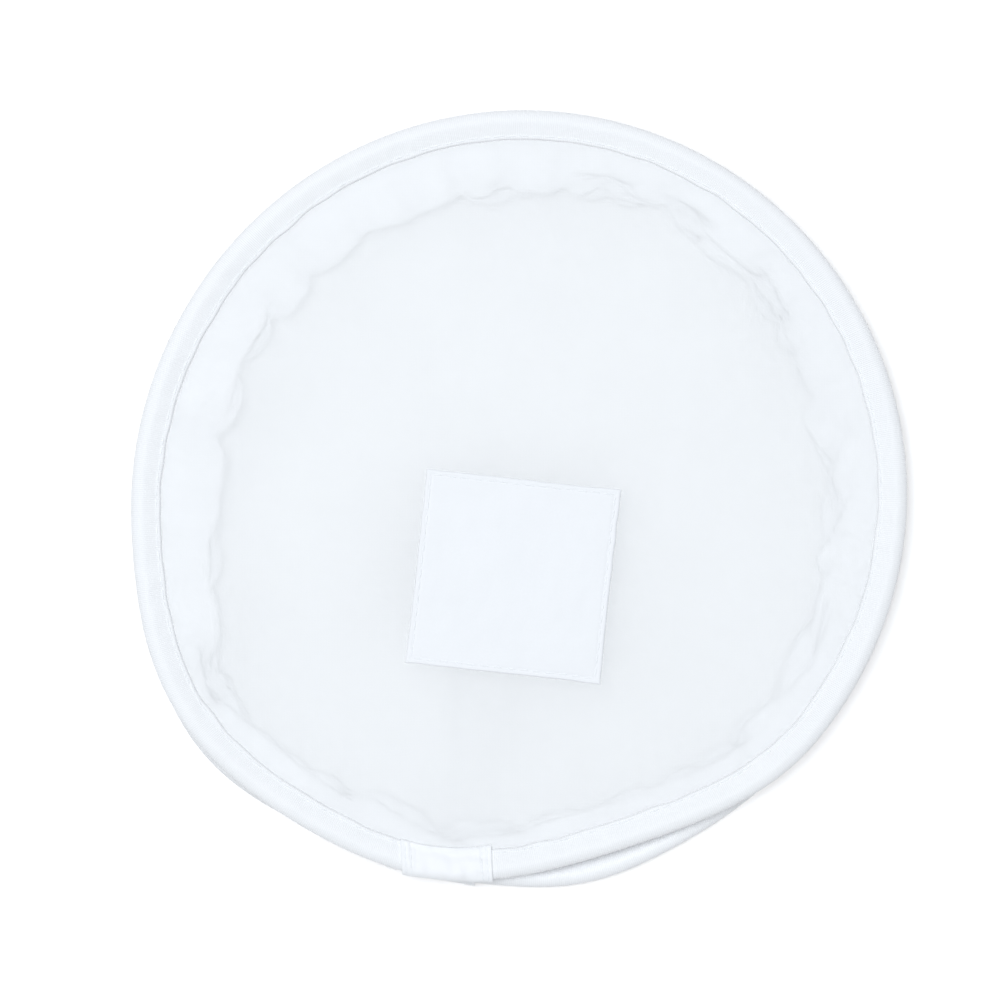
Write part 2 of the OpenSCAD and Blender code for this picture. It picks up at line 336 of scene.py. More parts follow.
tape_finish = ribbed_tape()
sleeve_finish = cloth("sleeve_cloth", (0.94, 0.945, 0.957), 0.4 * MM, "UV", 7 * MM)
patch_finish = cloth("patch_cloth", (0.885, 0.895, 0.912), 0.45 * MM, "Object", 12 * MM)
sheer_finish = cloth("sheer_cloth", SHEER, 0.5 * MM, "Object", 30 * MM, Alpha=0.43)
rear_finish = cloth("rear_sheer_cloth", SHEER, 0.5 * MM, "Object", 30 * MM)
wall_finish = cloth("wall_cloth", WHITE, 0.5 * MM, "UV", 10 * MM)
thread_material = thread_finish()
strip_finish = steel("spring_steel", (0.55, 0.57, 0.60), 0.35, 0.8 * MM)
ferrule_finish = steel("ferrule_metal", (0.72, 0.73, 0.75), 0.28, 0.5 * MM)


# ------------------------------------------------------------------ mesh code
def make_piece(name, points, faces, corners_uv, material):
    """A mesh object from points, a list of face arrays and each corner's UV."""
    mesh = bpy.data.meshes.new(name)
    sizes = np.concatenate([np.full(len(f), f.shape[1]) for f in faces])
    corners = np.concatenate([f.ravel() for f in faces])
    mesh.vertices.add(len(points))
    mesh.vertices.foreach_set("co", np.ascontiguousarray(points, np.float32).ravel())
    mesh.loops.add(len(corners))
    mesh.loops.foreach_set("vertex_index", corners.astype(np.int32))
    mesh.polygons.add(len(sizes))
    starts = np.concatenate([[0], np.cumsum(sizes)[:-1]])
    mesh.polygons.foreach_set("loop_start", starts.astype(np.int32))
    mesh.polygons.foreach_set("use_smooth", np.ones(len(sizes), bool))
    if corners_uv is not None:
        layer = mesh.uv_layers.new(name="UVMap")
        layer.data.foreach_set("uv", np.ascontiguousarray(corners_uv, np.float32).ravel())
    mesh.update(calc_edges=True)
    mesh.materials.append(material)
    piece = bpy.data.objects.new(name, mesh)
    bpy.context.scene.collection.objects.link(piece)
    return piece


def grid_faces(n, m, round_i, round_j):
    """Quads of an n by m grid of points, closed in either direction or open."""
    i = np.arange(n if round_i else n - 1)[:, None]
    j = np.arange(m if round_j else m - 1)[None, :]
    i2, j2 = (i + 1) % n, (j + 1) % m
    quad = [i * m + j, i2 * m + j, i2 * m + j2, i * m + j2]
    return np.stack(np.broadcast_arrays(*quad), -1).reshape(-1, 4)


def grid_uv(u, v, n, m, round_i, round_j):
    """UV of every quad's corners; u and v have one more value than points if round."""
    a = np.arange(n if round_i else n - 1)[:, None]
    b = np.arange(m if round_j else m - 1)[None, :]
    corner = [(a, b), (a + 1, b), (a + 1, b + 1), (a, b + 1)]
    return np.stack([
        np.stack(np.broadcast_arrays(u[i] + 0 * v[j], v[j] + 0 * u[i]), -1)
        for i, j in corner], 2).reshape(-1, 4, 2).reshape(-1, 2)


def section_piece(name, hoop, turns, w, height, material, ring=False):
    """Carries a closed section along a rim: turns, w and height are arrays of place
    along the rim by section point. A ring closes on itself; a length gets a cap at
    each end, made of quads between the section's first half and its second half
    turned back. The faces are turned round where they would point inwards."""
    n, m = w.shape
    points = hoop.at(turns, w, height).reshape(-1, 3)
    faces = [grid_faces(n, m, ring, True)]
    run = np.append(turns[:, 0], turns[0, 0] + 1) * hoop.length
    step = np.hypot(np.diff(w[0], append=w[0][0]), np.diff(height[0], append=height[0][0]))
    uv = [grid_uv(run, np.concatenate([[0], np.cumsum(step)]), n, m, ring, True)]
    if not ring:
        j = np.arange(m // 2 - 1)
        cap = np.stack([j, j + 1, m - 2 - j, m - 1 - j], 1)
        faces += [cap, (cap + (n - 1) * m)[:, ::-1]]
        for k in (0, -1):
            wh = np.stack([w[k], height[k]], 1)
            quad = cap if k == 0 else cap[:, ::-1]
            uv.append(wh[quad].reshape(-1, 2))
    if hoop.out > 0:
        faces = [f[:, ::-1] for f in faces]
        uv = [t.reshape(-1, 4, 2)[:, ::-1].reshape(-1, 2) for t in uv]
    return make_piece(name, points, faces, np.concatenate(uv), material)


def thicken(piece, thickness, offset=0.0):
    """Gives a sheet its thickness, half to each side, or all of it inwards at -1."""
    solid = piece.modifiers.new("Solidify", "SOLIDIFY")
    solid.thickness, solid.offset = thickness, offset
    solid.use_even_offset, solid.use_rim = False, True


# ------------------------------------------------------------ the folded tape
STATIONS = 1456  # places along the rim at which the tape's section is worked out
TAPE_W_GRID = np.linspace(-2, 14, 321) * MM
RUNNING = 33  # points in the running mean that rounds the tape's bends
TAPE_LINE = np.convolve(
    np.interp(TAPE_W_GRID, np.array([3.8, 8.3]) * MM, [NOSE_H, SEWN_H]),
    np.ones(RUNNING) / RUNNING, mode="same")
WHOLE = slice(RUNNING // 2 + 1, -(RUNNING // 2 + 1))  # where the mean has all its points


def tape_height(w):
    """Half height of the folded tape at w: a quarter ellipse over the strip's edge,
    and from there a straight slope down to the two sewn plies, with its two bends
    rounded by a running mean."""
    nose = np.sqrt(np.clip(1 - (1 - np.minimum(w, NOSE_W) / NOSE_W) ** 2, 0, 1))
    return nose * np.interp(w, TAPE_W_GRID[WHOLE], TAPE_LINE[WHOLE])


def across_tape(count, reach_out, reach_in):
    """Signed places across a fold, from the outward ply's edge (1) round the rim
    (0) to the inward ply's edge (-1), closer together at the rim, and their w."""
    p = np.linspace(1, -1, count)
    reach = np.where(p > 0, reach_out, reach_in)
    return p, reach * np.abs(p) ** 1.7


def seam_draw(hoop, turn, w, stitch):
    """How far the seam pulls the tape down: a groove along the seam, deepest at
    each needle hole, and faint puckers that fan out from the holes."""
    holes = 0.5 + 0.5 * np.cos(TAU * turn * round(hoop.length / stitch))
    groove = (0.05 + 0.10 * holes) * bell(w - SEAM_W, 0.55 * MM)
    pucker = 0.05 * (holes - 0.5) * bell(w - SEAM_W, 2.4 * MM)
    return (groove + pucker) * MM


def binding(hoop, seed):
    """The tape: its outer face follows tape_height, less the seam's draw, with a
    slow waver of its edge, which also comes down a little at the very end; its inner
    face is the same line, one thickness in."""
    turn = (np.arange(STATIONS) / STATIONS)[:, None]
    p, w = across_tape(41, TAPE_W, TAPE_W)
    waver = 0.14 * MM * ripples(seed, turn, 0.0, 60, 0)
    swell = 0.05 * MM * ripples(seed + 1, turn, p, 90, 1.5) * smooth((w - 2 * MM) / (2 * MM))
    lift = tape_height(w) - seam_draw(hoop, turn, w, RIM_STITCH) + swell
    lift = lift - 0.14 * MM * smooth((w - TAPE_W + 0.7 * MM) / (0.7 * MM))
    lift = np.maximum(lift, 0.42 * MM * smooth(w / (2 * MM)))
    outer_w = w + waver * smooth((w - 6 * MM) / (4 * MM))
    outer_h = np.sign(p) * lift
    p, w = across_tape(15, TAPE_W - TAPE_T, TAPE_W - TAPE_T)
    inner_w = w + TAPE_T + waver * smooth((w + TAPE_T - 6 * MM) / (4 * MM))
    inner_h = np.sign(p) * np.maximum(tape_height(w + TAPE_T) - TAPE_T, 0.31 * MM) + 0 * turn
    piece = section_piece(f"{hoop.name}_tape", hoop, turn,
                          np.concatenate([outer_w, inner_w[:, ::-1]], 1),
                          np.concatenate([outer_h, inner_h[:, ::-1]], 1), tape_finish, True)
    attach(piece, hoop.name)
    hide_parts(f"{hoop.name}_binding")


# ---------------------------------------------------------------- the sleeves
def sleeve_height(side, w, seed):
    """Half height of a join sleeve: the tape's line and one more cloth over it,
    down to the sheet past the tape's edge, with doubled ends, a groove along each
    seam and soft creases along the rim. side is the distance from the join."""
    over = tape_height(np.minimum(w, TAPE_W)) + 0.5 * MM
    over = over - 0.62 * MM * smooth((w - 9.3 * MM) / (1.5 * MM))
    ends = 0.16 * MM * smooth((np.abs(side) - 9.8 * MM) / (0.8 * MM))
    groove = sum(0.2 * MM * bell(np.abs(side) - s, 0.42 * MM) for s in SLEEVE_SEAMS)
    creases = 0.13 * MM * clouds(seed, side, 2.2 * w, 9 * MM) * smooth(w / (3 * MM))
    creases = creases + 0.10 * MM * clouds(seed + 1, side, 0.4 * w, 4 * MM)
    return over + ends - groove + creases * smooth((13 * MM - np.abs(side)) / (2 * MM))


def sleeve_turn(hoop, side, w):
    """Turn of a point on the sleeve, which keeps its width although the rim bends
    under it, leans as it goes in, and sits a little to one side of the join."""
    lean, shift = SLEEVE_SET[hoop.name]
    return (side / (1 - w / RIM_BEND) - lean * w + shift) / hoop.length


def sleeve_corner(side):
    """0 along the sleeve's middle, rising smoothly to 1 at its ends."""
    return smooth((np.abs(side) - 8 * MM) / (7 * MM))


def across_sleeve(side, count):
    """Signed places across the sleeve's fold and their w, a little wider at one end."""
    p, w = across_tape(count, SLEEVE_REACH, TAPE_W - 0.2 * MM)
    return p, w * (1 + 0.07 * side / (SLEEVE_W / 2))


def join_sleeve(hoop, seed):
    """Cloth folded round the rim over the join, with its corners a little proud."""
    side = np.linspace(-SLEEVE_W / 2, SLEEVE_W / 2, 121)[:, None]
    p, w = across_sleeve(side, 61)
    corner = sleeve_corner(side)
    proud = 0.55 * MM + 0.45 * MM * corner + 0.1 * MM * clouds(seed + 2, side, 0 * w, 8 * MM)
    height = np.sign(p) * sleeve_height(side, w, seed)
    outer_w = w - proud * bell(w, 3 * MM) + 0.25 * MM * corner * (p > 0.8)
    inner_w = outer_w + 0.3 * MM * bell(w, 2 * MM)
    inner_h = height - np.sign(p) * 0.28 * MM
    w = np.concatenate([outer_w, inner_w[:, ::-1]], 1)
    piece = section_piece(f"{hoop.name}_sleeve", hoop, sleeve_turn(hoop, side, w), w,
                          np.concatenate([height, inner_h[:, ::-1]], 1), sleeve_finish)
    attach(piece, hoop.name)
    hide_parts(f"{hoop.name}_join_sleeve")


# ---------------------------------------------------------------- the stitches
def stitch_piece(name, at, along, up, length, width=THREAD, sink=0.6):
    """Rows of separate stitches in one mesh. Each is a short round thread: its
    middle lies on the cloth, its height falls as the fourth power of the distance
    from the middle, so both ends dive in, and its girth has three twisted plies.
    length is one stitch's visible length."""
    t = np.linspace(-0.96, 0.96, 9)
    a = np.linspace(0, TAU, 7)[:-1]
    plies = 1 + 0.10 * np.cos(3 * a + 9 * t[:, None])
    girth = width / 2 * np.sqrt(1 - t ** 6)[:, None] * plies
    x = t[:, None] * np.reshape(length, (-1, 1, 1)) / 2 + 0 * a
    y = girth * np.cos(a)
    z = 0.75 * girth * np.sin(a) + width * (0.30 - sink * t[:, None] ** 4)
    side = np.cross(up, along)

    def placed(x, y, z):
        return (at[:, None, None] + along[:, None, None] * x[..., None]
                + side[:, None, None] * y[..., None] + up[:, None, None] * z[..., None])

    k, n, m = len(at), len(t), len(a)
    body = placed(x, np.broadcast_to(y, x.shape), np.broadcast_to(z, x.shape))
    ends = placed(np.stack([x[:, :1, :1] * 1.04, x[:, -1:, :1] * 1.04], 1)[..., 0],
                  np.zeros((k, 2, 1)), np.full((k, 2, 1), width * (0.30 - sink)))
    points = np.concatenate([body.reshape(k, n * m, 3), ends.reshape(k, 2, 3)], 1)
    size = n * m + 2
    first = np.arange(k)[:, None, None] * size
    quads = (grid_faces(n, m, False, True)[None] + first).reshape(-1, 4)
    j = np.arange(m)
    low = np.stack([np.full(m, n * m), j, (j + 1) % m], 1)
    top = (n - 1) * m
    high = np.stack([np.full(m, n * m + 1), top + (j + 1) % m, top + j], 1)
    poles = (np.concatenate([low, high])[None] + first).reshape(-1, 3)
    return make_piece(name, points.reshape(-1, 3), [quads[:, ::-1], poles[:, ::-1]], None,
                      thread_material)


def stitches_along(line, pitch, reach):
    """Middles and directions of stitches spread evenly along a line of points. A
    direction is measured from reach before the middle to reach after it."""
    run = np.concatenate([[0], np.cumsum(np.linalg.norm(np.diff(line, axis=0), axis=1))])
    count = round(run[-1] / pitch)
    middle = (np.arange(count) + 0.5) / count * run[-1]

    def on_line(d):
        return np.stack([np.interp(d, run, line[:, k]) for k in range(3)], 1)

    return on_line(middle), unit(on_line(middle + reach) - on_line(middle - reach))


def sewn(piece, body, node):
    """Attaches a seam to one body, so that it moves with it, and hides the CAD seam it stands
    for.
    """
    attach(piece, body)
    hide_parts(node)


def rim_seam(hoop, side, node, seed):
    """Lock stitches round the rim, one for each needle hole, on one face."""
    count = round(hoop.length / RIM_STITCH)
    random = np.random.default_rng(seed)
    turn = (np.arange(count) + 0.5) / count
    keep = (np.abs((turn + 0.5) % 1 - 0.5) * hoop.length > SLEEVE_W / 2 - 1 * MM)
    turn = turn[keep]
    w = SEAM_W + random.normal(0, 0.06 * MM, len(turn))
    height = side * (tape_height(w) - 0.12 * MM)
    at = hoop.at(turn, w, height)
    across = hoop.across(turn)
    up = np.zeros_like(across)
    up[:, 2] = hoop.out * side
    along = np.cross(up, across)
    skew = random.normal(0, 0.035, len(turn))[:, None]
    along = along + skew * across
    length = STITCH_SHOWS * RIM_STITCH * random.uniform(0.93, 1.04, len(turn))
    name = node.replace("bobbin_thread", "under_stitches").replace("stitching", "stitches")
    sewn(stitch_piece(name, at, along, up, length), hoop.name, node)


def sleeve_seams(hoop, seed):
    """Two rows of stitches across each end of the sleeve, round the whole fold."""
    at, along, up = [], [], []
    for end in (-1, 1):
        for s in SLEEVE_SEAMS:
            side = end * s
            p, w = (x[16:-16] for x in across_sleeve(side, 400))
            height = np.sign(p) * sleeve_height(np.array([[side]]), w, seed)[0]
            proud = (0.55 + 0.45 * sleeve_corner(s)) * MM * bell(w, 3 * MM)
            line = hoop.at(sleeve_turn(hoop, side, w - proud), w - proud, height)
            middle, tangent = stitches_along(line, SLEEVE_STITCH, 0.2 * MM)
            rim_way = np.cross(hoop.across(side / hoop.length), [0, 0, hoop.out])
            normal = unit(np.cross(tangent, rim_way))
            away = middle - hoop.at(side / hoop.length, 4 * MM, 0)
            normal *= np.sign((normal * away).sum(1))[:, None]
            at.append(middle)
            along.append(tangent)
            up.append(normal)
    at, along, up = (np.concatenate(x) for x in (at, along, up))
    piece = stitch_piece(f"{hoop.name}_sleeve_stitches", at, along, up,
                         STITCH_SHOWS * SLEEVE_STITCH, 0.36 * MM)
    sewn(piece, hoop.name, f"{hoop.name}_sleeve_stitching")


# ------------------------------------------------------------------ the sheets
sheet_low, sheet_high = (np.array(c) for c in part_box("front_sheet"))
FRONT_RIM_Z = (sheet_low[2] + sheet_high[2]) / 2
REAR_RIM_Z = np.array(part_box("rear_sheet"))[1][2] - 0.15 * MM


def polar(x, y):
    """Distance from the panel's middle, and direction as a turn."""
    return np.hypot(x, y), np.arctan2(y, x) / TAU


def front_height(x, y):
    """Height of the front sheet: taut at the rim, a slack hollow of under a
    millimetre inside, slow waves, a low ridge that runs from the patch's lower left
    to the join, and short tension ripples that die away from the seam."""
    radius, turn = polar(x, y)
    rim_gap = np.clip(0.1155 - radius, 0, 1)
    slack = smooth(rim_gap / (25 * MM))
    waves = 0.30 * MM * clouds(31, x, y, 70 * MM) * slack
    fine = 0.05 * MM * clouds(32, x, y, 22 * MM) * slack
    tension = 0.05 * MM * ripples(33, turn, radius / 0.1, 110, 1.0)
    tension = tension * np.exp(-rim_gap / (9 * MM))
    ridge = smooth((x + 50 * MM) / (26 * MM)) * smooth((6 * MM - x) / (28 * MM))
    ridge = 2.6 * MM * ridge * smooth((-y - 44 * MM) / (34 * MM)) * slack
    return FRONT_RIM_Z - 0.3 * MM * slack + waves + fine + tension + ridge


def rear_height(x, y):
    """Height of the rear sheet: at the rim's level, then an S-shaped slope down to
    the floor, with soft wrinkles on the slope and one slack fold from the join."""
    radius, turn = polar(x, y)
    slope = smooth((radius - 72 * MM) / (40 * MM))
    wrinkles = ripples(41, turn, radius / 0.1, 46, 1.4) * slope * (1.05 - slope)
    fold_x = x + 29 * MM
    fold = smooth((fold_x + 16 * MM) / (12 * MM)) * smooth((10 * MM - fold_x) / (3 * MM))
    fold = fold * smooth((-y - 30 * MM) / (18 * MM)) * smooth((112 * MM + y) / (10 * MM))
    low = 0.12 * MM
    level = low + (REAR_RIM_Z - low) * slope
    return np.maximum(level + 0.9 * MM * wrinkles + 2.2 * MM * fold * (1 - slope), low)


def disc_sheet(name, hoop, height_of, material, node):
    """A sheet on rings from the middle to its hem between the tape's plies, each
    ring a share of the hem's line, and its height from height_of."""
    rings, round_it = 104, 360
    turns = np.arange(round_it) / round_it
    hem = hoop.at(turns, HEM_W, 0)[:, :2]
    share = np.linspace(0, 1, rings + 1)[1:]
    xy = share[:, None, None] * hem[None]
    x, y = xy[..., 0], xy[..., 1]
    rim_z = FRONT_RIM_Z if hoop is front else REAR_RIM_Z
    held = smooth((share - 0.955) / 0.03)[:, None]
    z = height_of(x, y) * (1 - held) + rim_z * held
    middle = [0, 0, float(height_of(np.zeros(1), np.zeros(1))[0])]
    points = np.concatenate([np.stack([x, y, z], -1).reshape(-1, 3), [middle]])
    quads = grid_faces(rings, round_it, False, True)
    j = np.arange(round_it)
    fan = np.stack([np.full(round_it, rings * round_it), j, (j + 1) % round_it], 1)
    corners = np.concatenate([quads.ravel(), fan.ravel()])
    piece = make_piece(name, points, [quads, fan], points[corners][:, :2], material)
    thicken(piece, SHEET_T)
    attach(piece, hoop.name)
    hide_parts(node)


# ------------------------------------------------------------------- the patch
patch_low, patch_high = (np.array(c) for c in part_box("front_patch"))
PATCH_MIDDLE = (patch_low + patch_high)[:2] / 2
span = (patch_high - patch_low)[0]
# A square of side a turned by t has a box of a(cos t + sin t), which gives t.
PATCH_TURN = -0.5 * math.asin(min(1, (span / PATCH_W) ** 2 - 1))


def patch_xy(u, v):
    """Place on the panel of a point u, v from the patch's middle, along its sides."""
    c, s = math.cos(PATCH_TURN), math.sin(PATCH_TURN)
    return PATCH_MIDDLE[0] + c * u - s * v, PATCH_MIDDLE[1] + s * u + c * v


def patch_height(u, v):
    """Height of the patch's face over the front sheet: puffed between its seam and
    its turned edge, drawn down along the seam, and gently quilted inside."""
    inset = PATCH_W / 2 - np.maximum(np.abs(u), np.abs(v))
    turned = 0.05 * MM * smooth((8 * MM - inset) / (3.0 * MM))
    seam = 0.2 * MM * bell(inset - PATCH_SEAM, 0.5 * MM)
    edge = 0.2 * MM * smooth((0.5 * MM - inset) / (0.5 * MM))
    inside = 0.12 * MM * clouds(51, u, v, 26 * MM) + 0.03 * MM * clouds(52, u, v, 6 * MM)
    inside = inside * smooth((inset - 2 * MM) / (6 * MM))
    return PATCH_T + 0.16 * MM + turned - seam - edge + inside


def patch():
    """The square patch: a grid with rows close together at its edges, whose sides
    bow in very slightly between the corners and waver a little."""
    s = np.linspace(-1, 1, 151)
    s = np.sign(s) * (1 - (1 - np.abs(s)) ** 1.25)
    u, v = np.meshgrid(s, s, indexing="ij")
    half = PATCH_W / 2

    def bowed(a, b, seed):
        waver = 0.05 * MM * a ** 5 * clouds(seed, b * half, 0 * b, 9 * MM)
        return half * a - 0.25 * MM * a * (1 - b ** 2) + waver

    pu, pv = bowed(u, v, 53), bowed(v, u, 54)
    x, y = patch_xy(pu, pv)
    z = front_height(x, y) + patch_height(half * u, half * v)
    points = np.stack([x, y, z], -1).reshape(-1, 3)
    quads = grid_faces(len(s), len(s), False, False)
    uv = np.stack([pu, pv], -1).reshape(-1, 2)[quads.ravel()]
    piece = make_piece("square_patch", points, [quads], uv, patch_finish)
    thicken(piece, PATCH_T, -1)
    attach(piece, "front")
    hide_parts("front_patch")


def patch_seam(side, node, seed):
    """Lock stitches along the patch's four sides, on its face or under the sheet."""
    random = np.random.default_rng(seed)
    half = PATCH_W / 2 - PATCH_SEAM
    count = round(2 * half / PATCH_STITCH)
    d = ((np.arange(count) + 0.5) / count * 2 - 1) * half
    u = np.concatenate([d, np.full(count, half), -d, np.full(count, -half)])
    v = np.concatenate([np.full(count, -half), d, np.full(count, half), -d])
    du = np.repeat([1, 0, -1, 0], count)
    dv = np.repeat([0, 1, 0, -1], count)
    jitter = random.normal(0, 0.05 * MM, len(u))
    x, y = patch_xy(u + jitter * dv, v + jitter * du)
    if side > 0:
        z = front_height(x, y) + patch_height(u, v)
    else:
        z = front_height(x, y) - SHEET_T / 2
    c, s = math.cos(PATCH_TURN), math.sin(PATCH_TURN)
    skew = random.normal(0, 0.03, len(u))
    along = np.stack([c * du - s * dv - skew * dv, s * du + c * dv + skew * du, 0 * u], 1)
    up = np.zeros_like(along)
    up[:, 2] = side
    length = STITCH_SHOWS * PATCH_STITCH * random.uniform(0.93, 1.04, len(u))
    name = "patch_stitches" if side > 0 else "patch_under_stitches"
    sewn(stitch_piece(name, np.stack([x, y, z], 1), along, up, length), "front", node)


# --------------------------------------------------------------- the side wall
ROWS, COLUMNS = 33, 640  # points of the wall's cloth, hem to hem and round the hoop
LOWERING, RESTING = 90, 50  # steps while the hoop comes down, and after it
PHASES = 17  # half as many as there are scallops round the hoop
# How far in the folded wall reaches, in millimetres, by direction in degrees.
FOLD_AT = [0, 30, 60, 90, 135, 180, 215, 255, 315, 345]
FOLD_IN = [20, 18, 12, 22, 19, 22, 10, 10, 11, 17]


def pull(cloth, a, b, rest, stiffness):
    """Moves each pair of points, cloth[a] and cloth[b], towards its cut length."""
    gap = cloth[b] - cloth[a]
    length = np.sqrt((gap ** 2).sum(-1, keepdims=True)) + 1e-9
    move = gap * (0.5 * stiffness * (1 - rest / length))
    cloth[a] += move
    cloth[b] -= move


def keep_apart(cloth, axis, lag, rest, least):
    """Bending: two points lag apart along axis are pushed away from each other when
    they come closer than this share of the cloth between them."""
    other = np.roll(cloth, -lag, axis)
    gap = other - cloth
    length = np.sqrt((gap ** 2).sum(-1, keepdims=True)) + 1e-9
    push = 0.10 * gap * np.clip(1 - least * lag * rest / length, -1, 0)
    if axis == 0:
        push[-lag:] = 0
    return cloth + push - np.roll(push, lag, axis)


def settle_wall():
    """Lets the wall fold up as the front hoop comes down on the rear one.

    cloth[j, i] is a grid of points, j from the front hem to the rear hem and i
    round the hoop. It starts open, bowed inwards, and with a shallow gather at each
    scallop. Each step lowers the front hem, moves every point on by most of its last
    move, and then pulls neighbours along, across and over one another back to the
    length they were cut to, and keeps them from bending too sharply. The points stay
    inside the tapes, between the two sheets and near a V from hem to hem, and they
    go no further in than the scallops' line. Nothing else keeps cloth off cloth, so
    folds can cross one another, and some do."""
    turn = np.arange(COLUMNS) / COLUMNS
    share = np.linspace(0, 1, ROWS)[:, None]
    top = front.at(turn, WALL_EXIT, 0)
    low = rear.at(turn + turn_shift(), WALL_EXIT, 0)
    top_z, low_z = front.z - 0.2 * MM, rear.z + 0.2 * MM
    across = WALL_CUT / (ROWS - 1)
    round_it = np.linalg.norm(np.roll(top[:, :2], -1, 0) - top[:, :2], axis=1).mean()
    base = (1 - share)[..., None] * top[None] + share[..., None] * low[None]
    inward = -front.across(turn)[None]
    bow = np.sin(np.pi * share)
    fold, phase = fold_depth(turn)
    start_gap = 0.9 * WALL_CUT
    bowed = bow * (0.3 * fold + 1.0 * MM * ripples(61, turn[None], share, 70, 1.5))
    cloth = base + inward * bowed[..., None]
    gather = (-2.4 * MM * np.cos(2 * phase) * bow
              + 0.9 * MM * ripples(62, turn[None], share, 90, 2.0) * bow)
    cloth[..., 2] = low_z + start_gap * (1 - share) + gather
    before = cloth.copy()
    edge = np.hypot(base[..., 0], base[..., 1])
    lobes = (np.abs(np.sin(phase)) ** 0.6 - 0.6) * (1 + 0.35 * ripples(65, turn, 0.0, 20, 0))
    lobes = np.where(share < 0.5, 0.16 * MM * lobes, -0.02 * MM) * bow ** 0.5
    lean = math.hypot(across, round_it)
    here, there = np.s_[0:COLUMNS], np.s_[1:COLUMNS + 1]
    for step in range(LOWERING + RESTING):
        gap = start_gap + (top_z - low_z - start_gap) * smooth((step + 1) / LOWERING)
        moved = cloth + 0.8 * (cloth - before) + inward * (0.012 * MM * bow)[..., None]
        moved[..., 2] += lobes
        before, cloth = cloth, moved
        x, y = cloth[..., 0], cloth[..., 1]
        middle = low_z + gap * (1 - share)
        band = (1.1 * bow ** 0.5) * MM * gap / (top_z - low_z)
        ceiling = np.minimum(front_height(x, y) - CLEAR + low_z + gap - top_z, middle + band)
        ground = np.maximum(rear_height(x, y) + CLEAR, middle - band)
        for _ in range(7):
            cloth[0, :, :2], cloth[-1, :, :2] = top[:, :2], low[:, :2]
            cloth[0, :, 2], cloth[-1, :, 2] = low_z + gap, low_z
            for first in (0, 1):
                pull(cloth, np.s_[first:ROWS - 1:2], np.s_[first + 1:ROWS:2], across, 0.9)
            wide = np.concatenate([cloth, cloth[:, :2]], 1)
            for first in (0, 1):
                count = COLUMNS + first
                a, b = np.s_[:, first:count:2], np.s_[:, first + 1:count + 1:2]
                pull(wide, a, b, round_it, 0.9)
            wide[:, 0] = wide[:, COLUMNS]
            for first in (0, 1):
                upper, lower = np.s_[first:ROWS - 1:2], np.s_[first + 1:ROWS:2]
                pull(wide, (upper, here), (lower, there), lean, 0.3)
                pull(wide, (lower, here), (upper, there), lean, 0.3)
            wide[:, 0] = (wide[:, 0] + wide[:, COLUMNS]) / 2
            cloth = np.ascontiguousarray(wide[:, :COLUMNS])
            for lag, least in ((2, 0.9), (4, 0.84), (7, 0.78)):
                cloth = keep_apart(cloth, 1, lag, round_it, least)
            cloth = keep_apart(cloth, 0, 2, across, 0.7)
            radius = np.hypot(cloth[..., 0], cloth[..., 1])
            limit = np.clip(radius, edge - fold, edge - 0.05 * MM * bow)
            cloth[..., :2] *= (1 + 0.8 * (limit / radius - 1))[..., None]
            cloth[..., 2] = np.maximum(np.minimum(cloth[..., 2], ceiling), ground)
    return turn, creased(cloth, inward, turn, share, bow, phase)


def creased(cloth, inward, turn, share, bow, phase):
    """Sharpens the settled wall at each cusp: the fold's line goes back out, and the
    front leaf dips in a crease that dies away exponentially to both sides. A ridged
    noise, the size of soft noise without its sign, crumples the leaf in between. The
    points are then averaged with their neighbours round the hoop, twice."""
    cusp = np.exp(-np.abs(np.sin(phase)) / 0.26) * (0.8 + 0.3 * ripples(66, turn, 0.0, 24, 0))
    cloth[..., :2] -= inward[..., :2] * (5.0 * MM * cusp * bow ** 3)[..., None]
    leaf = smooth(share / 0.10) * smooth((0.52 - share) / 0.16)
    crumple = np.abs(ripples(67, turn, share, 80, 2.5)) - 0.8
    cloth[..., 2] -= leaf * (1.8 * cusp + 0.35 * crumple) * MM
    for _ in range(2):
        cloth[1:-1] = (2 * cloth + np.roll(cloth, 1, 1) + np.roll(cloth, -1, 1))[1:-1] / 4
    x, y, z = cloth[1:-1, :, 0], cloth[1:-1, :, 1], cloth[1:-1, :, 2]
    cloth[1:-1, :, 2] = np.clip(z, rear_height(x, y) + CLEAR, front_height(x, y) - CLEAR)
    return cloth


def turn_shift():
    """Turn on the rear hoop that faces the front hoop's join."""
    a = front.at(0.0, 0.0, 0.0)
    b = rear.at(0.0, 0.0, 0.0)
    return (math.atan2(a[1], a[0]) - math.atan2(b[1], b[0])) / TAU


def fold_depth(turn):
    """How far the folded wall reaches in from the tape, and the scallops' phase:
    deep at the left and the top, shallow at the bottom and the upper right, and
    round the hoop a row of uneven scallops with a cusp between each two."""
    start = front.at(0.0, 0.0, 0.0)
    a = np.degrees(math.atan2(start[1], start[0]) + TAU * turn) % 360
    depth = np.interp(a, FOLD_AT, FOLD_IN, period=360)
    phase = PHASES * math.pi * turn * 2 + 0.9 * ripples(63, turn, 0.0, 9, 0)
    scallop = 4.2 * (np.abs(np.sin(phase)) - 0.6) + 0.7 * ripples(64, turn, 0.0, 60, 0)
    return (depth + scallop) * MM, phase


